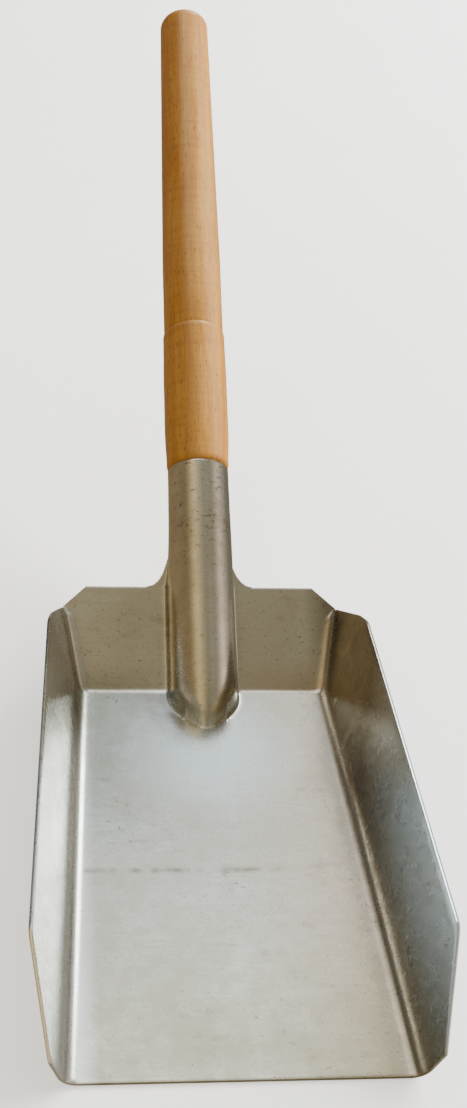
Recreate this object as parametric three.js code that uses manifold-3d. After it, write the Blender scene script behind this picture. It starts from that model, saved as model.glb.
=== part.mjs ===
// Grain scoop shovel: a one-piece pressed sheet-steel pan with a rolled handle socket,
// a turned wooden handle pushed into the socket, and two round-head screws that hold it.
// Millimetres, +Z up. +Y points from the scooping edge towards the end of the handle.
// The origin is the middle of the flat underside of the pan's floor.
import * as THREE from "three";
import { mergeVertices } from "three/addons/utils/BufferGeometryUtils.js";
import Module from "manifold-3d";

const wasm = await Module();
wasm.setup();

// --- sheet and pan -------------------------------------------------------------
const SHEET = 1.2;               // thickness of the pressed steel
const FLOOR_LENGTH = 215;        // scooping edge to the rear bend
const FLOOR_HALF_FRONT = 66;     // half width of the floor at the scooping edge
const FLOOR_HALF_REAR = 58.5;    // half width of the floor at the rear bend
const SIDE_BEND = 7.5;           // inside radius between the floor and a side wall
const REAR_BEND = 7;             // inside radius between the floor and the back wall
const WALL_LEAN = 17.3;          // degrees a side wall leans out from the vertical
const MOUTH_RAKE = 2.5;          // forward lean of a side wall's front edge at its top corner
const RAKE_END = 30;             // distance from the scooping edge where that lean ends
const SLOPE = 30;                // degrees of the back wall and of the handle
const BACK_WALL = 53.5;          // height of the back wall, measured up its slope
const BACK_HALF_TOP = 55;        // half width of the back wall's straight top edge
const CLIP_HALF = 66.5;          // half width where the clipped corner meets the side wall
const CLIP_RISE = 42.5;          // distance up the slope to that point

// --- handle socket, measured along its own axis from above the rear bend ---------
const AXIS_HEIGHT = 10.5;        // height of the axis over the floor's upper face there
const DOME_RADIUS = 15.4;        // outside radius of the raised gutter on the back wall
const RIM_RADIUS = 15;           // outside radius at the rolled rim
const NOSE_START = -1;           // where the gutter starts to taper towards its nose
const NOSE_REACH = 23;           // the taper: distance = start - REACH t - CURVE t^2,
const NOSE_CURVE = 6;            // radius = full radius times 1 - t^3
const WEB_END = 72;              // end of the curved webs beside the gutter
const NOSE_WALL = 1.2;           // inner nose set back by this times the sheet's thickness
const WEB_WIDTH = 11;            // width of each web along the top edge
const SEAM_START = 90;           // where the sheet's two edges meet under the socket
const SEAM_GAP = 0.6;
const RIM = 106;                 // end of the socket

// --- handle and screws -----------------------------------------------------------
const GAP = 0.35;                // clearance between neighbouring pieces
const HANDLE_RADIUS = 16;
const GROOVE = 185;              // end of the full-size body, start of the grip
const GRIP_RADIUS = 15.2;
const HANDLE_END = 395.5;
const END_RADIUS = 13.3;         // radius just before the domed end
const SPIGOT_START = 22;         // tapered tip of the handle inside the gutter
const SCREW_AT = 97;
const SCREW_ANGLE = 30;          // degrees each side of the seam
const SCREW_HEAD = 4;
const SHANK = 1.8;
const SHANK_LENGTH = 12;

const ROUND = 40;                // segments round the socket and the handle
const MERGE = 1e-3;              // vertices closer than this are one
const TUCK = 0.05;               // keeps joined faces from lying in one plane
const rad = THREE.MathUtils.degToRad;
const slopeCos = Math.cos(rad(SLOPE));
const slopeSin = Math.sin(rad(SLOPE));
const FLOOR_MIDDLE = FLOOR_LENGTH / 2;

// A frame whose +Y runs along the handle and whose origin lies above the rear bend.
const handleFrame = new THREE.Matrix4().makeRotationX(rad(SLOPE))
  .setPosition(0, FLOOR_LENGTH - FLOOR_MIDDLE, SHEET + AXIS_HEIGHT);
// The same frame dropped on to the upper face of the back wall.
const wallFrame = new THREE.Matrix4().makeRotationX(rad(SLOPE))
  .setPosition(0, FLOOR_LENGTH - FLOOR_MIDDLE, SHEET);
const WALL_DEPTH = AXIS_HEIGHT * slopeCos;   // axis to the back wall, square to both

// --- solids ------------------------------------------------------------------------
function solid(geometry, matrix) {
  const bare = geometry.clone();
  bare.deleteAttribute("normal");
  bare.deleteAttribute("uv");
  if (matrix) bare.applyMatrix4(matrix);
  const merged = mergeVertices(bare, MERGE);
  const mesh = new wasm.Mesh({
    numProp: 3,
    vertProperties: new Float32Array(merged.attributes.position.array),
    triVerts: new Uint32Array(merged.index.array),
  });
  return new wasm.Manifold(mesh);
}

function geometryOf(manifold) {
  const mesh = manifold.getMesh();
  const geometry = new THREE.BufferGeometry();
  geometry.setAttribute("position", new THREE.BufferAttribute(mesh.vertProperties, 3));
  geometry.setIndex(new THREE.BufferAttribute(mesh.triVerts, 1));
  geometry.computeVertexNormals();
  return geometry;
}

// The main body of a boolean result, without the specks that touching faces can leave.
function mainBody(manifold) {
  const welded = solid(geometryOf(manifold));
  return welded.decompose().reduce((best, next) => (next.volume() > best.volume() ? next : best));
}

// A profile of [radius, distance] pairs turned round the handle's axis (+Y).
function turned(profile, segments = ROUND) {
  const points = profile.map(([radius, along]) => new THREE.Vector2(radius, along));
  return new THREE.LatheGeometry(points, segments);
}

// A flat outline of [x, y] pairs given a depth from z = low to z = high.
function plate(outline, low, high) {
  const shape = new THREE.Shape(outline.map(([x, y]) => new THREE.Vector2(x, y)));
  const geometry = new THREE.ExtrudeGeometry(shape, { depth: high - low, bevelEnabled: false });
  return geometry.translate(0, 0, low);
}

// A side-view outline of [y, z] pairs carried across the width from -half to half.
function across(outline, half) {
  const toSide = new THREE.Matrix4().makeBasis(
    new THREE.Vector3(0, 1, 0), new THREE.Vector3(0, 0, 1), new THREE.Vector3(1, 0, 0));
  return plate(outline, -half, half).applyMatrix4(toSide);
}

// --- pan sheet: rows run from the middle out to the rim, one beside the other ---------
const rimProfile = [[0, 16], [30, 41.6], [33, 44], [212, 44.8], [219, 43]];   // [y, height]

function rimHeight(y) {
  for (let i = 1; i < rimProfile.length; i += 1) {
    const [y0, z0] = rimProfile[i - 1];
    const [y1, z1] = rimProfile[i];
    if (y <= y1) return z0 + (z1 - z0) * (y - y0) / (y1 - y0);
  }
  return rimProfile.at(-1)[1];
}

const floorHalf = (y) => FLOOR_HALF_FRONT
  + (FLOOR_HALF_REAR - FLOOR_HALF_FRONT) * y / FLOOR_LENGTH;

// How far the side wall's front edge leans forward, fading out along the wall.
const frontRake = (y) => Math.max(0, MOUTH_RAKE * (1 - y / RAKE_END));

// Points of one row: flat part, side bend, side wall up to the rim.
const FLAT_STEPS = 2;
const BEND_STEPS = 5;
const WALL_STEPS = 2;

function rowPoints(middle, corner, top) {
  const up = top.clone().sub(corner);
  const height = up.length();
  up.normalize();
  const turn = Math.acos(THREE.MathUtils.clamp(up.x, -1, 1));
  const set = Math.min(SIDE_BEND * Math.tan(turn / 2), height * 0.9);
  const start = corner.clone().setX(corner.x - set);
  const end = corner.clone().addScaledVector(up, set);
  const bend = new THREE.QuadraticBezierCurve3(start, corner, end);
  const points = [];
  for (let i = 0; i < FLAT_STEPS; i += 1) points.push(middle.clone().lerp(start, i / FLAT_STEPS));
  points.push(...bend.getPoints(BEND_STEPS));
  for (let i = 1; i <= WALL_STEPS; i += 1) points.push(end.clone().lerp(top, i / WALL_STEPS));
  return points;
}

function floorRow(y) {
  const half = floorHalf(y);
  const height = rimHeight(y);
  return rowPoints(
    new THREE.Vector3(0, y, 0),
    new THREE.Vector3(half, y, 0),
    new THREE.Vector3(half + height * Math.tan(rad(WALL_LEAN)), y - frontRake(y), height));
}

// A row on the back wall, its end running down the clipped rear corner of the rim.
function backRow(rise) {
  const y = FLOOR_LENGTH + rise * slopeCos;
  const z = rise * slopeSin;
  const middle = new THREE.Vector3(0, y, z);
  if (rise < CLIP_RISE - 1) {
    const share = rise / CLIP_RISE;
    const rearRim = floorRow(rimProfile.at(-1)[0]).at(-1);
    const clip = new THREE.Vector3(CLIP_HALF,
      FLOOR_LENGTH + CLIP_RISE * slopeCos, CLIP_RISE * slopeSin);
    const corner = new THREE.Vector3(
      THREE.MathUtils.lerp(FLOOR_HALF_REAR, CLIP_HALF - 1, share), y, z);
    return rowPoints(middle, corner, rearRim.lerp(clip, share));
  }
  const share = Math.max(0, rise - CLIP_RISE) / (BACK_WALL - CLIP_RISE);
  const end = THREE.MathUtils.lerp(CLIP_HALF, BACK_HALF_TOP, share);
  return rowPoints(middle, new THREE.Vector3(end - 2, y, z), new THREE.Vector3(end, y, z + 0.02));
}

// The rows between floor and back wall follow an arc.
function bendRows(count) {
  const set = REAR_BEND * Math.tan(rad(SLOPE / 2));
  const before = floorRow(FLOOR_LENGTH - set);
  const after = backRow(set);
  const corner = floorRow(FLOOR_LENGTH);
  const rows = [];
  for (let i = 1; i < count; i += 1) {
    const curve = (k) => new THREE.QuadraticBezierCurve3(before[k], corner[k], after[k]);
    rows.push(before.map((_, k) => curve(k).getPoint(i / count)));
  }
  return [before, ...rows, after];
}

function panRows() {
  const floor = [0, 15, RAKE_END, 33, 95, 155].map(floorRow);
  const back = [11, 22, 33, CLIP_RISE, BACK_WALL].map(backRow);
  return [...floor, ...bendRows(5), ...back];
}

// Mirrors each half row, and gives the sheet its thickness below the surface.
function panSheet() {
  const rows = panRows().map((row) => [
    ...row.slice(1).reverse().map((p) => new THREE.Vector3(-p.x, p.y, p.z)), ...row]);
  const columns = rows[0].length;
  const vertices = rows.flat();
  const faces = [];
  for (let r = 0; r + 1 < rows.length; r += 1) {
    for (let c = 0; c + 1 < columns; c += 1) {
      const a = r * columns + c;
      faces.push([a, a + 1, a + columns + 1], [a, a + columns + 1, a + columns]);
    }
  }
  const surface = new THREE.BufferGeometry().setFromPoints(vertices);
  surface.setIndex(faces.flat());
  surface.computeVertexNormals();
  const normals = surface.attributes.normal;
  const below = vertices.map((p, i) => {
    const normal = new THREE.Vector3().fromBufferAttribute(normals, i);
    return p.clone().addScaledVector(normal, -SHEET);
  });
  const shift = vertices.length;
  const triangles = faces.flatMap(([a, b, c]) => [a, b, c, shift + a, shift + c, shift + b]);
  edgeLoop(rows.length, columns).forEach(([a, b]) => {
    triangles.push(b, a, shift + a, b, shift + a, shift + b);
  });
  const sheet = new THREE.BufferGeometry().setFromPoints([...vertices, ...below]);
  sheet.setIndex(triangles);
  return sheet.translate(0, -FLOOR_MIDDLE, SHEET);
}

// Boundary edges of the grid, in the direction its faces use them.
function edgeLoop(rowCount, columns) {
  const last = (rowCount - 1) * columns;
  const edges = [];
  for (let c = 0; c + 1 < columns; c += 1) edges.push([c, c + 1], [last + c + 1, last + c]);
  for (let r = 0; r + 1 < rowCount; r += 1) {
    const start = r * columns;
    edges.push([start + columns, start], [start + columns - 1, start + 2 * columns - 1]);
  }
  return edges;
}

// --- gutter and socket -----------------------------------------------------------------
// A bar with a tapered nose along the handle's axis, its straight sides down to the back wall.
function gutterBar(radius, end) {
  const nose = [];
  const steps = 10;
  const setBack = (DOME_RADIUS - radius) * NOSE_WALL;
  for (let i = 0; i <= steps; i += 1) {
    const t = 1 - i / steps;
    nose.push([radius * (1 - t ** 3), NOSE_START + setBack - NOSE_REACH * t - NOSE_CURVE * t * t]);
  }
  const bar = solid(turned([...nose, [radius + (RIM_RADIUS - DOME_RADIUS), end], [0, end]]),
    handleFrame);
  const left = nose.slice(1).reverse().map(([x, y]) => [-x, y]);
  const legOutline = [...left, ...nose, [radius, WEB_END], [-radius, WEB_END]]
    .map(([x, y]) => [x * (1 - TUCK / radius), y]);
  return bar.add(solid(plate(legOutline, -2 * WALL_DEPTH, 0), handleFrame));
}

// Everything above the sheet's underside, and all of the tube past the webs.
function aboveSheet() {
  const under = (y) => [y, -WALL_DEPTH - SHEET];
  const toFloor = across([[-90, 0], [FLOOR_LENGTH - FLOOR_MIDDLE, 0],
    [FLOOR_LENGTH - FLOOR_MIDDLE, 120], [-90, 120]], 40);
  const alongWall = across([under(-SHEET * Math.tan(rad(SLOPE / 2))), under(WEB_END + 2),
    [WEB_END + 2, -60], [RIM + 5, -60], [RIM + 5, 60], [-40, 60]], 40);
  return solid(toFloor).add(solid(alongWall, handleFrame)).subtract(underside());
}

// Keeps the shell from reaching below the floor or the back wall.
function underside() {
  const floor = across([[-120, -60], [200, -60], [200, 0], [-120, 0]], 45);
  return solid(floor);
}

// Curved webs that carry the sheet from the back wall's top edge to the socket's sides.
function webs() {
  const wide = DOME_RADIUS + WEB_WIDTH;
  const right = new THREE.QuadraticBezierCurve(
    new THREE.Vector2(wide, BACK_WALL),
    new THREE.Vector2(DOME_RADIUS + 1, BACK_WALL + 1),
    new THREE.Vector2(DOME_RADIUS - 0.3, WEB_END - 1)).getPoints(6).map((p) => [p.x, p.y]);
  const left = right.map(([x, y]) => [-x, y]).reverse();
  return solid(plate([[-wide, BACK_WALL - 4], [wide, BACK_WALL - 4], ...right, ...left],
    -SHEET, 0), wallFrame);
}

// The opening under the socket, closing to the seam where the sheet's edges meet.
function seamCut() {
  const wide = 11;
  const narrow = SEAM_GAP / 2;
  const outline = [[-wide, WEB_END - 1], [wide, WEB_END - 1], [wide * 0.55, WEB_END + 8],
    [narrow, SEAM_START], [narrow, RIM + 2], [-narrow, RIM + 2], [-narrow, SEAM_START],
    [-wide * 0.55, WEB_END + 8]];
  return solid(plate(outline, -40, 0), handleFrame);
}

// A turned piece that points inwards under the socket, one side of the seam.
function screwFrame(side) {
  const aim = new THREE.Matrix4().makeRotationY(rad(-side * SCREW_ANGLE));
  const stand = new THREE.Matrix4().makeRotationX(rad(-90));
  const place = new THREE.Matrix4().makeTranslation(0, SCREW_AT, 0);
  return handleFrame.clone().multiply(place).multiply(aim).multiply(stand);
}

const HEAD_SEAT = RIM_RADIUS + 0.15 + GAP;   // underside of a screw head from the axis

function screwHole(side, clearance, from, to) {
  const bore = SHANK + clearance;
  return solid(turned([[0, from], [bore, from], [bore, to], [0, to]], 16), screwFrame(side));
}

function panWithSocket() {
  const shell = gutterBar(DOME_RADIUS, RIM).subtract(gutterBar(DOME_RADIUS - SHEET, RIM + 1));
  const body = solid(panSheet())
    .add(webs())
    .subtract(gutterBar(DOME_RADIUS - SHEET, RIM + 1))
    .add(shell.intersect(aboveSheet()))
    .subtract(seamCut())
    .subtract(screwHole(-1, GAP, 8, 25))
    .subtract(screwHole(1, GAP, 8, 25));
  return mainBody(body);
}

// --- handle ------------------------------------------------------------------------------
function handleProfile() {
  const inside = RIM_RADIUS - SHEET - GAP;
  const spigot = [[0, SPIGOT_START], [7, SPIGOT_START], [9.2, SPIGOT_START + 2],
    [inside - 0.6, WEB_END], [inside, RIM], [inside, RIM + GAP]];
  const body = [[HANDLE_RADIUS * 0.95, RIM + 1.5], [HANDLE_RADIUS * 0.975, RIM + 6],
    [HANDLE_RADIUS, RIM + 22], [HANDLE_RADIUS, GROOVE - 12],
    [HANDLE_RADIUS - 0.1, GROOVE - 0.9], [GRIP_RADIUS - 0.3, GROOVE],
    [GRIP_RADIUS, GROOVE + 0.9], [GRIP_RADIUS, GROOVE + 45]];
  const dome = [];
  const steps = 8;
  const rise = 9;
  for (let i = 0; i <= steps; i += 1) {
    const angle = rad(90 * i / steps);
    const radius = i === steps ? 0 : END_RADIUS * Math.cos(angle) ** 0.8;
    dome.push([radius, HANDLE_END - rise + rise * Math.sin(angle)]);
  }
  return [...spigot, ...body, ...dome];
}

function handleBody() {
  return solid(turned(handleProfile()), handleFrame)
    .subtract(screwHole(-1, GAP, 15 - SHANK_LENGTH, 20))
    .subtract(screwHole(1, GAP, 15 - SHANK_LENGTH, 20));
}

// --- screw -------------------------------------------------------------------------------
function screwBody(side) {
  const tip = HEAD_SEAT - SHANK_LENGTH;
  const head = new THREE.QuadraticBezierCurve(
    new THREE.Vector2(SCREW_HEAD, HEAD_SEAT), new THREE.Vector2(SCREW_HEAD * 0.95, HEAD_SEAT + 2.2),
    new THREE.Vector2(0, HEAD_SEAT + 2.4)).getPoints(5).map((p) => [p.x, p.y]);
  const profile = [[0, tip], [SHANK * 0.4, tip + 1.5], [SHANK, tip + 4], [SHANK, HEAD_SEAT], ...head];
  const slot = across([[-0.5, HEAD_SEAT + 1.3], [0.5, HEAD_SEAT + 1.3],
    [0.5, HEAD_SEAT + 4], [-0.5, HEAD_SEAT + 4]], SCREW_HEAD + 1);
  const slotFrame = screwFrame(side).multiply(new THREE.Matrix4().makeRotationX(rad(90)));
  return solid(turned(profile, 20), screwFrame(side)).subtract(solid(slot, slotFrame));
}

// --- scene graph -------------------------------------------------------------------------
function named(name, manifold, color, roughness, metalness) {
  const material = new THREE.MeshStandardMaterial({ color, roughness, metalness });
  const mesh = new THREE.Mesh(geometryOf(manifold), material);
  mesh.name = name;
  return mesh;
}

const group = new THREE.Group();
group.add(
  named("pan_with_socket", panWithSocket(), 0xb4b3a6, 0.35, 1),
  named("wooden_handle", handleBody(), 0xc08a4a, 0.45, 0),
  named("screw_left", screwBody(-1), 0x9a9a94, 0.4, 1),
  named("screw_right", screwBody(1), 0x9a9a94, 0.4, 1));

export default group;
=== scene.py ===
"""Looks for the grain scoop shovel: pressed zinc-coated pan with a rolled socket, turned wooden
handle and two screws. Metres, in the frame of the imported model: +Z up, +Y towards the handle."""
import math

import bpy
from mathutils import Matrix, Vector


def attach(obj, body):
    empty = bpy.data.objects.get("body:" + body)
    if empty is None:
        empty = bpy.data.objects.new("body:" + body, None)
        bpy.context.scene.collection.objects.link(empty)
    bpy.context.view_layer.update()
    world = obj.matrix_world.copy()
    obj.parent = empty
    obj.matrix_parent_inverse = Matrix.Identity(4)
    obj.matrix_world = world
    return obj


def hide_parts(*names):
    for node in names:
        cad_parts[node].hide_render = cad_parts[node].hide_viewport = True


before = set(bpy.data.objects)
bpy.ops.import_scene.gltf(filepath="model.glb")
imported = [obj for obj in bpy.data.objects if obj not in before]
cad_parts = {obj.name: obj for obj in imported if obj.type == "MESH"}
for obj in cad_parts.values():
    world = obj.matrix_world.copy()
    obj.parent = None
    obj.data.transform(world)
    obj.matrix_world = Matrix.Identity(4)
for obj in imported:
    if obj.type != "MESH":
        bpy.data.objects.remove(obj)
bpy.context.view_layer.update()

# --- driving dimensions, in millimetres, as in the model ---------------------------------
MM = 0.001
SHEET = 1.2
FLOOR_LENGTH = 215.0
FLOOR_MIDDLE = FLOOR_LENGTH / 2
FLOOR_HALF_FRONT = 66.0
FLOOR_HALF_REAR = 58.5
SIDE_BEND = 7.5
REAR_BEND = 7.0
WALL_LEAN = math.radians(17.3)
MOUTH_RAKE = 2.5
RAKE_END = 30.0
SLOPE = math.radians(30)
BACK_WALL = 53.5
BACK_HALF_TOP = 55.0
CLIP_HALF = 66.5
CLIP_RISE = 42.5
AXIS_HEIGHT = 10.5
DOME_RADIUS = 15.4
RIM_RADIUS = 15.0
NOSE_START = -1.0
NOSE_REACH = 23.0
NOSE_CURVE = 6.0
WEB_END = 72.0
WEB_WIDTH = 11.0
SEAM_START = 90.0
SEAM_GAP = 0.6
RIM = 106.0
HANDLE_RADIUS = 16.0
GROOVE = 185.0
GRIP_RADIUS = 15.2
HANDLE_END = 395.4
END_RADIUS = 13.3

COS, SIN, TAN = math.cos(SLOPE), math.sin(SLOPE), math.tan(SLOPE)
LOW_Y = FLOOR_LENGTH - AXIS_HEIGHT / TAN     # where the gutter's axis sinks to the floor
FOOT_TALL = 3.75                             # fillet where the gutter's side meets the sheet
FOOT_WIDE = 1.8
NOSE_FOOT = 2.4                              # how softly the nose runs out on to the floor
DRAFT = 0.05                                 # lean of the gutter's sides
LEAST_SPREAD = 0.35                          # sideways room of the gutter's side where it is low
EDGE_Y = FLOOR_LENGTH + BACK_WALL * COS      # the back wall's top edge in plan
EASED = 0.22                                 # rounding of the sheet's cut edges


def lerp(a, b, t):
    return a + (b - a) * t


def smooth(low, high, x):
    t = min(1.0, max(0.0, (x - low) / (high - low)))
    return t * t * (3 - 2 * t)


def mesh_object(name, points, faces, shade_smooth=True):
    """A mesh object from points in millimetres of the sheet's own frame."""
    mesh = bpy.data.meshes.new(name)
    mesh.from_pydata([Vector(p) * MM for p in points], [], faces)
    mesh.validate()
    if shade_smooth:
        mesh.shade_smooth()
    piece = bpy.data.objects.new(name, mesh)
    bpy.context.scene.collection.objects.link(piece)
    return piece


# --- pan: height of the pressed surface over the floor ------------------------------------
def base_height(y):
    """Floor, rear bend and back wall."""
    reach = REAR_BEND * math.tan(SLOPE / 2)
    if y <= FLOOR_LENGTH - reach:
        return 0.0
    if y >= FLOOR_LENGTH + reach * COS:
        return (y - FLOOR_LENGTH) * TAN
    along = y - (FLOOR_LENGTH - reach)
    return REAR_BEND - math.sqrt(REAR_BEND ** 2 - min(along, REAR_BEND * SIN) ** 2)


def axis_height(y):
    return AXIS_HEIGHT + (y - FLOOR_LENGTH) * TAN


def gutter_radius(along):
    """Outside radius of the raised gutter, which tapers to a point below the floor."""
    if along >= NOSE_START:
        return DOME_RADIUS
    ahead = NOSE_START - along
    t = (math.sqrt(NOSE_REACH ** 2 + 4 * NOSE_CURVE * ahead) - NOSE_REACH) / (2 * NOSE_CURVE)
    return DOME_RADIUS * (1 - t ** 3)


def gutter_top(x, y, search=25.0, halvings=28):
    """Height of the gutter's upper side, closed in on between its axis and a point above it."""
    low = axis_height(y)
    high = low + search
    for _ in range(halvings):
        z = (low + high) / 2
        ahead, up = y - FLOOR_LENGTH, z - AXIS_HEIGHT
        along, over = ahead * COS + up * SIN, up * COS - ahead * SIN
        if math.hypot(x, over) < gutter_radius(along):
            low = z
        else:
            high = z
    return low


def soft_floor(z, y, least=0.01):
    """Lets the nose run out softly on to the floor."""
    soft = NOSE_FOOT * (1 - smooth(LOW_Y - 4, LOW_Y + 6, y)) + least
    if z > soft:
        return z
    return max(z + soft, 0) ** 2 / (4 * soft)


# columns of half a row of the pan
ARC = 26       # from the gutter's crest to its side
SIDE = 7       # down the straight side
FOOT = 9       # round the fillet
FLAT_WEB = 5   # to the end of the web
FLAT_REST = 8  # to the side bend
BEND = 10      # round the side bend
WALL = 12      # up the side wall


def gutter_column(k, y):
    """(x, height) of column k over the gutter, its side and its foot."""
    base = base_height(y)
    wide = gutter_radius((max(y, LOW_Y) - FLOOR_LENGTH) / COS)
    if k <= ARC:
        x = wide * math.sin(math.pi / 2 * k / ARC)
        return x, base + soft_floor(gutter_top(x, y) - base, y)
    top = base + soft_floor(gutter_top(wide, y) - base, y)
    foot = min(FOOT_TALL, top - base)
    drop = top - base - foot
    spread = max(DRAFT * drop, LEAST_SPREAD)
    if k <= ARC + SIDE:
        t = (k - ARC) / SIDE
        return wide + spread * t, top - drop * t
    angle = math.pi / 2 * (k - ARC - SIDE) / FOOT
    return wide + spread + FOOT_WIDE * (1 - math.cos(angle)), base + foot * (1 - math.sin(angle))


GUTTER_COLUMNS = ARC + SIDE + FOOT
WEB_COLUMN = GUTTER_COLUMNS + FLAT_WEB


def floor_half(y):
    return lerp(FLOOR_HALF_FRONT, FLOOR_HALF_REAR, y / FLOOR_LENGTH)


# (distance from the scooping edge, height) along a side wall's top edge
RIM_LINE = [(0, 16), (30, 41.6), (33, 44), (212, 44.8), (219, 43)]


def rim_height(y, blur=2.5, steps=5):
    """Height of the side wall's top edge, its corners a little rounded."""
    def line(at):
        for (y0, z0), (y1, z1) in zip(RIM_LINE, RIM_LINE[1:]):
            if at <= y1:
                return lerp(z0, z1, (at - y0) / (y1 - y0))
        return RIM_LINE[-1][1]
    if y < blur:
        return line(y)
    return sum(line(y + blur * i / steps) for i in range(-steps, steps + 1)) / (2 * steps + 1)


def outer_points(start, corner, top, most=0.9):
    """The rest of a row: flat to the side bend, round it, and up the side wall."""
    up = top - corner
    height = up.length
    up.normalize()
    turn = math.acos(max(-1.0, min(1.0, up.x)))
    reach = min(SIDE_BEND * math.tan(turn / 2), height * most)
    bend_start = corner - Vector((reach, 0, 0))
    bend_end = corner + up * reach
    points = [start.lerp(bend_start, i / FLAT_REST) for i in range(1, FLAT_REST)]
    for i in range(BEND + 1):
        t = i / BEND
        points.append(bend_start * (1 - t) ** 2 + corner * 2 * t * (1 - t) + bend_end * t * t)
    points += [bend_end.lerp(top, i / WALL) for i in range(1, WALL + 1)]
    return points


CLIP_SHARE = 0.97    # share of the clip past which a row ends in a point
CORNER_TURN = 6      # the side wall's rear corner takes 1 / this of the clip
CLIP_INSET = 1.0     # the side bend's corner stands this far inside the clip's end
EDGE_INSET = 2.0     # and this far inside the back wall's top edge
EDGE_LIFT = 0.02


def side_corner(y):
    """The virtual corner and the top of the side wall for the row at y."""
    if y <= FLOOR_LENGTH:
        half, height = floor_half(y), rim_height(y)
        lean = height * math.tan(WALL_LEAN)
        rake = max(0.0, MOUTH_RAKE * (1 - y / RAKE_END))
        return Vector((half, y, base_height(y))), Vector((half + lean, y - rake, height))
    rise = (y - FLOOR_LENGTH) / COS
    z = base_height(y)
    share = rise / CLIP_RISE
    if share < CLIP_SHARE:
        rear_y = RIM_LINE[-1][0]
        height = rim_height(rear_y)
        rear = Vector((floor_half(rear_y) + height * math.tan(WALL_LEAN), rear_y, height))
        clip = Vector((CLIP_HALF, FLOOR_LENGTH + CLIP_RISE * COS, CLIP_RISE * SIN))
        corner = Vector((lerp(FLOOR_HALF_REAR, CLIP_HALF - CLIP_INSET, share), y, z))
        first = side_corner(FLOOR_LENGTH)[1]
        track = first.lerp(rear, min(1.0, share * CORNER_TURN))
        return corner, track.lerp(clip, share)
    past = max(0.0, rise - CLIP_RISE) / (BACK_WALL - CLIP_RISE)
    end = lerp(CLIP_HALF, BACK_HALF_TOP, past)
    return Vector((end - EDGE_INSET, y, z)), Vector((end, y, z + EDGE_LIFT))


WEB_HALF = DOME_RADIUS + WEB_WIDTH


def pan_row(y):
    """Half a row of the pan, from the middle outwards."""
    columns = [gutter_column(k, y) for k in range(GUTTER_COLUMNS + 1)]
    points = [Vector((x, y, z)) for x, z in columns]
    inner = points[-1].x
    for i in range(1, FLAT_WEB + 1):
        points.append(Vector((lerp(inner, WEB_HALF, i / FLAT_WEB), y, base_height(y))))
    corner, top = side_corner(y)
    return points + outer_points(points[-1], corner, top)


def row_places():
    """Where the rows lie along the pan: close together round the nose and the rear bend."""
    places = [0]
    spans = [(0, 30, 14), (30, 36, 6), (36, 180, 44), (180, FLOOR_LENGTH - 6, 52),
             (FLOOR_LENGTH - 6, FLOOR_LENGTH + 8, 28), (FLOOR_LENGTH + 8, EDGE_Y, 34)]
    for low, high, steps in spans:
        places += [lerp(low, high, i / steps) for i in range(1, steps + 1)]
    return places


# --- socket: the rows past the back wall's top edge ------------------------------------------
def web_half(along):
    """Half width of the sheet where it narrows to the socket in a hollow curve."""
    t = min(1.0, max(0.0, (along - BACK_WALL) / (WEB_END - BACK_WALL)))
    return DOME_RADIUS + WEB_WIDTH * (1 - math.sqrt(1 - (1 - t) ** 2))


FIRST_WRAP = 9.5     # length of sheet below the socket's widest line where it starts to curl


def socket_row(along):
    """Half a row of the socket at a distance along its axis."""
    radius = lerp(DOME_RADIUS, RIM_RADIUS, smooth(BACK_WALL, RIM, along))
    upright = 1 - smooth(BACK_WALL, SEAM_START, along)
    curl = smooth(BACK_WALL + 8, WEB_END + 14, along)
    seam = radius * math.pi / 2 - SEAM_GAP / 2
    wrapped = lerp(FIRST_WRAP, seam, smooth(BACK_WALL + 10, SEAM_START, along))
    narrow = (web_half(along) - DOME_RADIUS) / WEB_WIDTH
    edge_row = [gutter_column(k, EDGE_Y) for k in range(GUTTER_COLUMNS + 1)]
    inner = edge_row[-1][0]
    edge_row += [(lerp(inner, WEB_HALF, i / FLAT_WEB), base_height(EDGE_Y))
                 for i in range(1, FLAT_WEB + 1)]
    points = []
    for k, (x, z) in enumerate(edge_row):
        if k <= ARC:
            angle = math.pi / 2 * k / ARC
            across, over = radius * math.sin(angle), radius * math.cos(angle)
        else:
            flat_over = (z - axis_height(EDGE_Y)) * COS
            flat_across = radius + (x - DOME_RADIUS) * narrow
            angle = math.pi / 2 + wrapped / radius * (k - ARC) / (WEB_COLUMN - ARC)
            across = lerp(flat_across, radius * math.sin(angle), curl)
            over = lerp(flat_over, radius * math.cos(angle), curl)
        place = along + over * TAN * upright
        points.append(Vector((across, FLOOR_LENGTH + place * COS - over * SIN,
                              AXIS_HEIGHT + place * SIN + over * COS)))
    return points


def grid_faces(first_row, rows, columns):
    faces = []
    for r in range(rows - 1):
        for c in range(columns - 1):
            a = first_row + r * columns + c
            faces.append((a, a + 1, a + columns + 1, a + columns))
    return faces


def mirrored(row):
    return [Vector((-p.x, p.y, p.z)) for p in reversed(row[1:])] + row


SOCKET_ROWS = 56


def pan_mesh():
    """Points and faces of the pressed sheet's upper side, pan first and then the socket."""
    rows = [mirrored(pan_row(y)) for y in row_places()]
    columns = len(rows[0])
    middle = columns // 2
    points = [p for row in rows for p in row]
    faces = grid_faces(0, len(rows), columns)
    edge = [(len(rows) - 1) * columns + c
            for c in range(middle - WEB_COLUMN, middle + WEB_COLUMN + 1)]
    for r in range(1, SOCKET_ROWS + 1):
        row = mirrored(socket_row(lerp(BACK_WALL, RIM, r / SOCKET_ROWS)))
        start = len(points)
        points += row
        now = list(range(start, start + len(row)))
        faces += [(a, b, d, c) for a, b, c, d in zip(edge, edge[1:], now, now[1:])]
        edge = now
    return [(p.x, p.y - FLOOR_MIDDLE, p.z + SHEET) for p in points], faces


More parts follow.
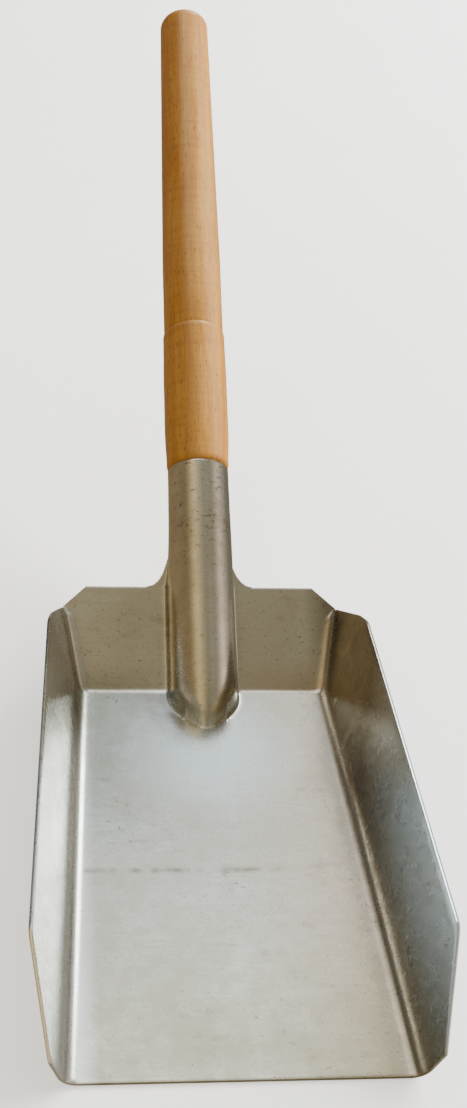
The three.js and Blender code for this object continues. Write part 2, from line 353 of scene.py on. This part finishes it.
def thicken(piece):
    """Gives the sheet its thickness below the surface, and eases its cut edges."""
    solid = piece.modifiers.new("sheet", "SOLIDIFY")
    solid.thickness = SHEET * MM
    solid.offset = -1
    solid.use_even_offset = True
    solid.use_quality_normals = True
    ease = piece.modifiers.new("ease", "BEVEL")
    ease.width = EASED * MM
    ease.segments = 2
    ease.limit_method = "ANGLE"
    ease.angle_limit = math.radians(50)
    ease.harden_normals = False


# --- turned pieces ----------------------------------------------------------------------------
HANDLE_FRAME = (Matrix.Translation(Vector((0, FLOOR_LENGTH - FLOOR_MIDDLE, SHEET + AXIS_HEIGHT)) * MM)
                @ Matrix.Rotation(SLOPE, 4, "X"))


def turned(name, profile, segments, place):
    """A closed body turned round +Y from (radius, distance) pairs in millimetres."""
    points, faces = [], []
    for radius, along in profile:
        for i in range(segments):
            angle = 2 * math.pi * i / segments
            points.append((radius * math.cos(angle), along, radius * math.sin(angle)))
    for r in range(len(profile) - 1):
        for i in range(segments):
            j = (i + 1) % segments
            a, b = r * segments, (r + 1) * segments
            faces.append((a + i, b + i, b + j, a + j))
    faces.append(tuple(range(segments)))
    last = (len(profile) - 1) * segments
    faces.append(tuple(reversed(range(last, last + segments))))
    piece = mesh_object(name, points, faces)
    piece.data.transform(place)
    return piece


GAP = 0.35                                   # clearance between neighbouring pieces
END_RISE = 9.0                               # length of the handle's domed end


def handle_profile():
    """(radius, distance) from the tapered inner end, past the rim and groove, to the dome."""
    inside = RIM_RADIUS - SHEET - GAP
    line = [(3, 22), (7, 22), (8.6, 22.6), (9.2, 24), (inside - 0.6, WEB_END), (inside, RIM),
            (inside + 0.3, RIM + 0.5), (14.4, RIM + 0.9), (15.0, RIM + 1.6), (15.4, RIM + 3.4)]
    line += [(lerp(15.4, HANDLE_RADIUS, smooth(0, 1, t / 8)), RIM + 3.4 + 18.6 * t / 8)
             for t in range(1, 9)]
    line += [(HANDLE_RADIUS - 0.25 * smooth(GROOVE - 26, GROOVE - 4, at), at)
             for at in (145, GROOVE - 26, GROOVE - 20, GROOVE - 14, GROOVE - 8, GROOVE - 4)]
    line += [(15.75, GROOVE - 2), (15.6, GROOVE - 1.1), (15.25, GROOVE - 0.5),
             (14.95, GROOVE), (14.95, GROOVE + 0.4), (15.1, GROOVE + 1), (GRIP_RADIUS, GROOVE + 2)]
    line += [(GRIP_RADIUS, GROOVE + 20), (GRIP_RADIUS, GROOVE + 45)]
    first = HANDLE_END - END_RISE
    line += [(lerp(GRIP_RADIUS, END_RADIUS, t / 6), lerp(GROOVE + 45, first, t / 6))
             for t in range(1, 7)]
    for i in range(1, 16):
        angle = math.pi / 2 * i / 16
        line.append((END_RADIUS * math.cos(angle) ** 0.8, first + END_RISE * math.sin(angle)))
    return line


SCREW_AT = 97.0
SCREW_ANGLE = math.radians(30)
HEAD_SEAT = RIM_RADIUS + 0.15 + GAP
HEAD_RISE = 2.2
HEAD_RADIUS = 3.98
SHANK_RADIUS = 1.75
SLOT_HALF = 0.5
SLOT_DEEP = 1.1


def screw(side):
    """A slotted round-head screw standing under the socket, beside its seam."""
    place = (HANDLE_FRAME @ Matrix.Translation((0, SCREW_AT * MM, 0))
             @ Matrix.Rotation(-side * SCREW_ANGLE, 4, "Y") @ Matrix.Rotation(-math.pi / 2, 4, "X"))
    seat, top = HEAD_SEAT, HEAD_SEAT + HEAD_RISE
    profile = [(0.7, 5), (SHANK_RADIUS, 8), (SHANK_RADIUS, seat), (3.8, seat), (HEAD_RADIUS, seat + 0.2)]
    profile += [(HEAD_RADIUS * math.cos(a), seat + 0.4 + 1.8 * math.sin(a))
                for a in (math.pi / 2 * i / 10 for i in range(9))]
    profile.append((0.5, top))
    name = "screw_head_left" if side < 0 else "screw_head_right"
    piece = turned(name, profile, 48, place)
    cutter = slot_cutter(name, top, place)
    cut = piece.modifiers.new("slot", "BOOLEAN")
    cut.object = cutter
    cut.operation = "DIFFERENCE"
    bpy.context.view_layer.update()
    graph = bpy.context.evaluated_depsgraph_get()
    mesh = bpy.data.meshes.new_from_object(piece.evaluated_get(graph))
    piece.modifiers.clear()
    piece.data = mesh
    bpy.data.objects.remove(cutter)
    return piece


def slot_cutter(name, top, place, long=6.0, over=2.0):
    """A block the size of a screw's slot, standing out past the head."""
    corners = [(x, y, z) for x in (-SLOT_HALF, SLOT_HALF)
               for y in (top - SLOT_DEEP, top + over) for z in (-long, long)]
    faces = [(0, 1, 3, 2), (4, 6, 7, 5), (0, 4, 5, 1), (2, 3, 7, 6), (0, 2, 6, 4), (1, 5, 7, 3)]
    cutter = mesh_object(name + "_slot", corners, faces, shade_smooth=False)
    cutter.data.transform(place)
    return cutter


# --- materials ----------------------------------------------------------------------------------
class Nodes:
    """Short hand for building a node tree."""

    def __init__(self, tree):
        self.tree = tree

    def add(self, kind, inputs=(), **settings):
        node = self.tree.nodes.new(kind)
        for key, value in settings.items():
            setattr(node, key, value)
        for key, value in dict(inputs).items():
            self.join(value, node.inputs[key])
        return node

    def join(self, value, socket):
        if isinstance(value, bpy.types.NodeSocket):
            self.tree.links.new(value, socket)
        else:
            socket.default_value = value

    def place(self, scale=(1, 1, 1), tilt=0.0):
        """Object coordinates, turned back by tilt about X and then stretched by 1 / scale."""
        coordinate = self.add("ShaderNodeTexCoord").outputs["Object"]
        mapping = self.add("ShaderNodeMapping", {"Vector": coordinate}, vector_type="TEXTURE")
        mapping.inputs["Scale"].default_value = [1 / part for part in scale]
        mapping.inputs["Rotation"].default_value = (tilt, 0, 0)
        return mapping.outputs["Vector"]

    def noise(self, vector, scale, detail=4, roughness=0.5, distortion=0.0):
        return self.add("ShaderNodeTexNoise", {
            "Vector": vector, "Scale": scale, "Detail": detail,
            "Roughness": roughness, "Distortion": distortion}).outputs["Fac"]

    def ramp(self, fac, stops):
        node = self.add("ShaderNodeValToRGB", {"Fac": fac})
        ramp = node.color_ramp
        while len(ramp.elements) < len(stops):
            ramp.elements.new(0.5)
        for element, (place, colour) in zip(ramp.elements, stops):
            element.position = place
            element.color = (*colour, 1)
        return node.outputs["Color"]

    def spread(self, fac, low, high, to_low=0.0, to_high=1.0):
        """Takes low to to_low and high to to_high, and stays there outside them."""
        return self.add("ShaderNodeMapRange", {
            "Value": fac, "From Min": low, "From Max": high,
            "To Min": to_low, "To Max": to_high}).outputs["Result"]

    def mix(self, fac, a, b, blend="MIX"):
        node = self.add("ShaderNodeMix", data_type="RGBA", blend_type=blend)
        self.join(fac, node.inputs[0])
        self.join(a if isinstance(a, bpy.types.NodeSocket) else (*a, 1), node.inputs[6])
        self.join(b if isinstance(b, bpy.types.NodeSocket) else (*b, 1), node.inputs[7])
        return node.outputs[2]

    def maths(self, operation, a, b=0.0):
        node = self.add("ShaderNodeMath", operation=operation)
        self.join(a, node.inputs[0])
        self.join(b, node.inputs[1])
        return node.outputs[0]

    def product(self, first, *others):
        for other in others:
            first = self.maths("MULTIPLY", first, other)
        return first


class MaterialNodes(Nodes):
    """The same for a material with one Principled shader."""

    def __init__(self, name):
        self.material = bpy.data.materials.new(name)
        self.material.use_nodes = True
        super().__init__(self.material.node_tree)
        self.shader = self.tree.nodes["Principled BSDF"]

    def set(self, socket, value):
        self.join(value, self.shader.inputs[socket])

    def bump(self, height, strength, distance):
        node = self.add("ShaderNodeBump", {"Height": height, "Strength": strength, "Distance": distance})
        self.set("Normal", node.outputs["Normal"])


# The zinc's tones and marks, with a painted highlight, painted shade and painted reflections, are placed
# on the pan itself, in metres.
MARK_Y = -0.005        # where a faint press mark crosses the floor
NOSE_SHEEN = (0, 0.066, 0)


def floor_tones_and_painted_sheen(m, tone, at, floor, uneven):
    """Warmer to the right, duller at the scooping edge and left rear, and a painted bluish sheen, a
    painted reflection, on the floor before the nose.
    """
    warm = m.product(floor, m.spread(at["X"], 0.005, 0.05), uneven)
    tone = m.mix(warm, tone, (0.82, 0.70, 0.60), "MULTIPLY")
    front = m.product(floor, m.spread(at["Y"], -0.02, -0.09))
    tone = m.mix(front, tone, (0.81, 0.82, 0.73), "MULTIPLY")
    corner = m.product(floor, m.spread(at["X"], -0.012, -0.045), m.spread(at["Y"], 0.005, 0.06), uneven)
    tone = m.mix(corner, tone, (0.70, 0.71, 0.70), "MULTIPLY")
    # painted sheen: the floor before the nose is painted lighter and bluish, a painted reflection
    away = m.add("ShaderNodeVectorMath", {0: m.place(), 1: NOSE_SHEEN}, operation="DISTANCE")
    clear = m.spread(away.outputs["Value"], 0.045, 0.012, 0, 0.5)
    return m.mix(m.product(floor, clear), tone, (0.72, 0.80, 0.86))


def wall_painted_light(m, tone, at, uneven):
    """Painted light on the walls. Right wall: painted brown shade at its rear, painted bluish reflection
    at its front. Left wall: painted highlight, lighter.
    """
    # painted shade: the right wall's rear is painted darker brown in place of a dark reflection
    right = m.spread(at["X"], 0.050, 0.062)
    rearwards = m.maths("SUBTRACT", at["Y"], m.product(at["Z"], 1.2))
    stain = m.product(right, m.spread(at["Z"], 0.002, 0.008), m.spread(rearwards, -0.035, 0.03), uneven)
    tone = m.mix(stain, tone, (0.42, 0.385, 0.34), "MULTIPLY")
    # painted reflection: the right wall's front is painted bluish
    right = m.spread(at["X"], 0.055, 0.062)
    painted_reflection = m.product(right, m.spread(at["Z"], 0.006, 0.022), m.spread(rearwards, 0.03, -0.06, 0, 0.85))
    tone = m.mix(painted_reflection, tone, (0.68, 0.78, 0.90))
    # painted highlight: the left wall is painted lighter
    left = m.product(m.spread(at["X"], -0.053, -0.060), m.spread(at["Y"], 0.09, 0.06))
    bright = m.product(left, m.spread(at["Z"], 0.0, 0.004, 0.5, 0.9))
    return m.mix(bright, tone, (0.88, 0.90, 0.89))


def socket_dashes(m, tone, at):
    """Short dark dashes across the socket."""
    dashes = m.spread(m.noise(m.place((0.3, 1, 1)), 520, detail=3), 0.60, 0.68)
    high = m.spread(at["Z"], 0.045, 0.065)
    return m.mix(m.product(dashes, high), tone, (0.50, 0.46, 0.40), "MULTIPLY")


def press_mark(m, tone, at, floor):
    """A faint broken line across the floor, which wanders a little."""
    wander = m.noise(m.place((1, 0.1, 1)), 55, detail=3)
    line = m.maths("ADD", m.product(wander, 0.003), MARK_Y - 0.0015)
    off = m.maths("ABSOLUTE", m.maths("SUBTRACT", at["Y"], line))
    broken = m.spread(m.noise(m.place((1, 0.2, 1)), 130, detail=2), 0.40, 0.62)
    mark = m.product(floor, m.spread(off, 0.0, 0.0022, 1, 0), m.spread(at["X"], 0.035, 0.010), broken)
    return m.mix(mark, tone, (0.48, 0.47, 0.43), "MULTIPLY")


def tones_marks_and_painted_light(m, tone, cloud):
    at = m.add("ShaderNodeSeparateXYZ", {"Vector": m.place()}).outputs
    floor = m.spread(at["Z"], 0.003, 0.009, 1, 0)
    uneven = m.spread(cloud, 0.35, 0.6, 0.6, 1)
    tone = floor_tones_and_painted_sheen(m, tone, at, floor, uneven)
    tone = wall_painted_light(m, tone, at, uneven)
    tone = socket_dashes(m, tone, at)
    return press_mark(m, tone, at, floor)


def steel_material():
    """Zinc-coated sheet: cloudy, faintly rolled across, with specks and a few brown smudges, and painted
    highlight, shade and reflections on its walls and floor.
    """
    m = MaterialNodes("zinc_coated_steel")
    flat = m.place()
    cloud = m.noise(flat, 16, detail=4, roughness=0.6, distortion=0.3)
    blotch = m.noise(flat, 110, detail=5, roughness=0.7)
    grain = m.noise(flat, 900, detail=3, roughness=0.6)
    rolled = m.noise(m.place((1, 12, 12)), 45, detail=5, roughness=0.6)
    smudge = m.noise(m.place((1, 2.2, 1)), 34, detail=7, roughness=0.72)
    specks = m.spread(m.noise(flat, 800, detail=3, roughness=0.6), 0.30, 0.37)
    cluster = m.spread(m.noise(flat, 24, detail=2), 0.52, 0.62)
    pits = m.spread(m.noise(flat, 420, detail=4, roughness=0.7), 0.60, 0.68)
    tone = m.ramp(cloud, [(0.32, (0.49, 0.475, 0.415)), (0.50, (0.585, 0.58, 0.535)),
                          (0.68, (0.63, 0.64, 0.62))])
    tone = m.mix(m.spread(blotch, 0.40, 0.62, 0, 0.45), tone, (0.42, 0.39, 0.32))
    tone = m.mix(m.spread(rolled, 0.4, 0.75, 0, 0.40), tone, (0.46, 0.43, 0.37))
    tone = m.mix(m.spread(smudge, 0.57, 0.70, 0, 0.45), tone, (0.27, 0.22, 0.15))
    tone = m.mix(m.product(cluster, pits, 0.75), tone, (0.10, 0.09, 0.08))
    tone = m.mix(0.5, tone, specks, "MULTIPLY")
    m.set("Base Color", tones_marks_and_painted_light(m, tone, cloud))
    m.set("Metallic", 1)
    rough = m.spread(cloud, 0.3, 0.7, 0.28, 0.23)
    m.set("Roughness", m.maths("ADD", rough, m.spread(blotch, 0.3, 0.7, -0.02, 0.06)))
    fine = m.maths("ADD", m.product(grain, 0.25), m.product(rolled, 0.3))
    m.bump(m.maths("ADD", fine, m.product(cloud, 2.5)), 0.12, 0.0006)
    return m.material


def wood_material():
    """Varnished beech: long streaks, short dark flecks, a little darker in broad bands."""
    m = MaterialNodes("varnished_beech")
    figure = m.noise(m.place((1, 0.07, 1), SLOPE), 120, detail=6, roughness=0.65, distortion=0.5)
    fibre = m.noise(m.place((1, 0.03, 1), SLOPE), 1300, detail=3, roughness=0.7)
    fleck = m.spread(m.noise(m.place((1, 0.25, 1), SLOPE), 1050, detail=1), 0.31, 0.345, 1, 0)
    broad = m.noise(m.place((1, 0.4, 1), SLOPE), 26, detail=3)
    rings = m.noise(m.place((0.12, 1, 0.12), SLOPE), 420, detail=3, roughness=0.6)
    tone = m.ramp(figure, [(0.37, (0.35, 0.120, 0.010)), (0.50, (0.51, 0.220, 0.027)),
                           (0.63, (0.64, 0.335, 0.072))])
    tone = m.mix(m.spread(broad, 0.35, 0.65, 0, 0.6), tone, (0.63, 0.345, 0.080))
    tone = m.mix(m.spread(rings, 0.45, 0.75, 0, 0.35), tone, (0.27, 0.13, 0.035))
    tone = m.mix(m.spread(fibre, 0.35, 0.65, 0, 0.35), tone, (0.27, 0.115, 0.03))
    tone = m.mix(m.product(fleck, 0.5), tone, (0.17, 0.065, 0.015))
    m.set("Base Color", tone)
    m.set("Roughness", m.spread(figure, 0.3, 0.7, 0.38, 0.48))
    m.set("Specular IOR Level", 0.3)
    m.set("Coat Weight", 0.35)
    m.set("Coat Roughness", 0.3)
    m.bump(m.maths("SUBTRACT", fibre, fleck), 0.2, 0.00025)
    return m.material


def screw_material():
    """Zinc plate with a cloudy stain."""
    m = MaterialNodes("screw_zinc")
    stain = m.noise(m.place(), 300, detail=4)
    m.set("Base Color", m.ramp(stain, [(0.3, (0.34, 0.33, 0.30)), (0.7, (0.56, 0.55, 0.52))]))
    m.set("Metallic", 1)
    m.set("Roughness", m.spread(stain, 0.3, 0.7, 0.28, 0.5))
    m.bump(m.noise(m.place(), 1500), 0.15, 0.0002)
    return m.material


def floor_material():
    m = MaterialNodes("pale_floor")
    m.set("Base Color", m.ramp(m.noise(m.place(), 6),
                               [(0.3, (0.90, 0.90, 0.90)), (0.7, (0.93, 0.93, 0.93))]))
    m.set("Roughness", 0.8)
    m.set("Emission Color", (1, 1, 1, 1))
    m.set("Emission Strength", 0.9)
    return m.material


# --- pieces ------------------------------------------------------------------------------------
def finish_piece(piece, material, node):
    piece.data.materials.clear()
    piece.data.materials.append(material)
    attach(piece, "root")
    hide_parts(node)


def build_pieces():
    points, faces = pan_mesh()
    pan = mesh_object("pressed_pan", points, faces)
    thicken(pan)
    finish_piece(pan, steel_material(), "pan_with_socket")
    handle = turned("turned_handle", handle_profile(), 160, HANDLE_FRAME)
    finish_piece(handle, wood_material(), "wooden_handle")
    zinc = screw_material()
    finish_piece(screw(-1), zinc, "screw_left")
    finish_piece(screw(1), zinc, "screw_right")


# --- stage ---------------------------------------------------------------------------------------
STAGE_HALF = 4000      # half the stage floor's width, in millimetres
STAGE_Z = -0.3         # its height, just clear of the pan


def build_floor():
    """A pale floor that the camera sees, and that the scoop neither mirrors nor is lit by."""
    corners = [(x, y, STAGE_Z) for x, y in ((-1, -1), (1, -1), (1, 1), (-1, 1))]
    corners = [(x * STAGE_HALF, y * STAGE_HALF, z) for x, y, z in corners]
    floor = mesh_object("floor", corners, [(0, 1, 2, 3)], shade_smooth=False)
    floor.data.materials.append(floor_material())
    floor.visible_glossy = False
    floor.visible_diffuse = False


def area_light(name, spot, aim, size, power, colour=(1, 1, 1), glossy=True):
    data = bpy.data.lights.new(name, "AREA")
    data.shape = "RECTANGLE"
    data.size, data.size_y = size
    data.energy = power
    data.color = colour
    light = bpy.data.objects.new(name, data)
    light.location = spot
    light.visible_glossy = glossy
    light.rotation_euler = (Vector(aim) - Vector(spot)).to_track_quat("-Z", "Y").to_euler()
    bpy.context.scene.collection.objects.link(light)


# The studio's colours, each from the left (0) to the right (1).
CEILING = [(0.06, (0.24, 0.165, 0.08)), (0.13, (0.20, 0.145, 0.07)), (0.20, (0.38, 0.28, 0.14)),
           (0.30, (0.84, 0.63, 0.31)), (0.46, (0.35, 0.295, 0.175)), (0.58, (0.20, 0.165, 0.10)),
           (0.70, (0.30, 0.28, 0.21)), (0.80, (0.22, 0.185, 0.13)), (0.87, (0.46, 0.38, 0.28)),
           (0.94, (1.22, 0.97, 0.78)), (1.0, (0.16, 0.15, 0.12))]
BACK_LOW = [(0.0, (0.32, 0.22, 0.10)), (0.10, (0.20, 0.17, 0.12)), (0.19, (0.13, 0.165, 0.185)),
            (0.27, (0.06, 0.055, 0.04)), (0.44, (0.05, 0.04, 0.025)), (0.50, (0.30, 0.34, 0.36)),
            (0.55, (0.90, 1.20, 1.38)), (0.62, (0.62, 0.68, 0.68)), (0.75, (0.36, 0.33, 0.28))]
BACK_HIGH = [(0.42, (0.12, 0.10, 0.065)), (0.50, (0.84, 0.89, 0.88)), (0.55, (1.10, 1.18, 1.17)),
             (0.595, (0.52, 0.43, 0.35)), (0.75, (0.50, 0.44, 0.36)), (1.0, (0.50, 0.46, 0.40))]
BACK_TOP = [(0.42, (0.12, 0.10, 0.065)), (0.49, (0.42, 0.42, 0.33)), (0.60, (0.22, 0.18, 0.12))]
BELOW = [(0.2, (0.25, 0.18, 0.095)), (0.5, (0.23, 0.195, 0.13)), (0.8, (0.18, 0.165, 0.125))]
SOFTBOX_AIM = Vector((0.40, 0.70, 0.59)).normalized()
SOFTBOX = (9.5, 10.1, 9.9)
SOFTBOX_EDGE = (10, 7)     # degrees from its middle where its light starts, and where it is full


def softbox_mask(sky, direction):
    """1 inside the softbox, 0 outside it."""
    dot = sky.add("ShaderNodeVectorMath", {0: direction, 1: SOFTBOX_AIM}, operation="DOT_PRODUCT")
    outer, inner = (math.cos(math.radians(edge)) for edge in SOFTBOX_EDGE)
    edge = sky.add("ShaderNodeMapRange", {"Value": dot.outputs["Value"], "From Min": outer,
                                          "From Max": inner}, interpolation_type="SMOOTHSTEP")
    return edge.outputs["Result"]


def build_world():
    """A pale studio, bright behind the scoop, with a dim warm ceiling and a dim left side."""
    world = bpy.data.worlds.new("studio")
    bpy.context.scene.world = world
    world.use_nodes = True
    sky = Nodes(world.node_tree)
    direction = sky.add("ShaderNodeTexCoord").outputs["Generated"]
    split = sky.add("ShaderNodeSeparateXYZ", {0: direction})
    sideways, forwards, upwards = (sky.spread(split.outputs[axis], -1, 1) for axis in "XYZ")
    back = sky.mix(sky.spread(upwards, 0.78, 0.88), sky.ramp(sideways, BACK_LOW),
                   sky.ramp(sideways, BACK_HIGH))
    back = sky.mix(sky.spread(upwards, 0.86, 0.91), back, sky.ramp(sideways, BACK_TOP))
    above = sky.mix(sky.spread(forwards, 0.56, 0.70), sky.ramp(sideways, CEILING), back)
    around = sky.mix(sky.spread(upwards, 0.49, 0.53), sky.ramp(sideways, BELOW), above)
    background = sky.tree.nodes["Background"]
    sky.join(sky.mix(softbox_mask(sky, direction), around, SOFTBOX), background.inputs["Color"])
    background.inputs["Strength"].default_value = 1.5


def build_lights():
    area_light("key", (1.7, 1.1, 0.9), (0, 0.1, 0.05), (2.2, 1.6), 160, glossy=False)
    area_light("top", (-0.1, 0.9, 1.9), (0, 0.2, 0), (1.2, 0.8), 8, (0.95, 0.98, 1))


CAMERA_SPOT = (-0.0763, -0.4622, 0.4966)
CAMERA_TURN = (0.9455, -0.0706, -0.0767)     # radians about X, then Y, then Z
FOCAL = 1.4425                               # focal length over the image's height
SHIFT = (0.0228, -0.003)


def build_camera():
    data = bpy.data.cameras.new("camera")
    data.sensor_fit = "VERTICAL"
    data.sensor_height = 36
    data.lens = data.sensor_height * FOCAL
    data.shift_x, data.shift_y = SHIFT
    data.clip_start = 0.02
    camera = bpy.data.objects.new("camera", data)
    camera.location = CAMERA_SPOT
    camera.rotation_euler = CAMERA_TURN
    bpy.context.scene.collection.objects.link(camera)
    bpy.context.scene.camera = camera


build_pieces()
build_floor()
build_world()
build_lights()
build_camera()
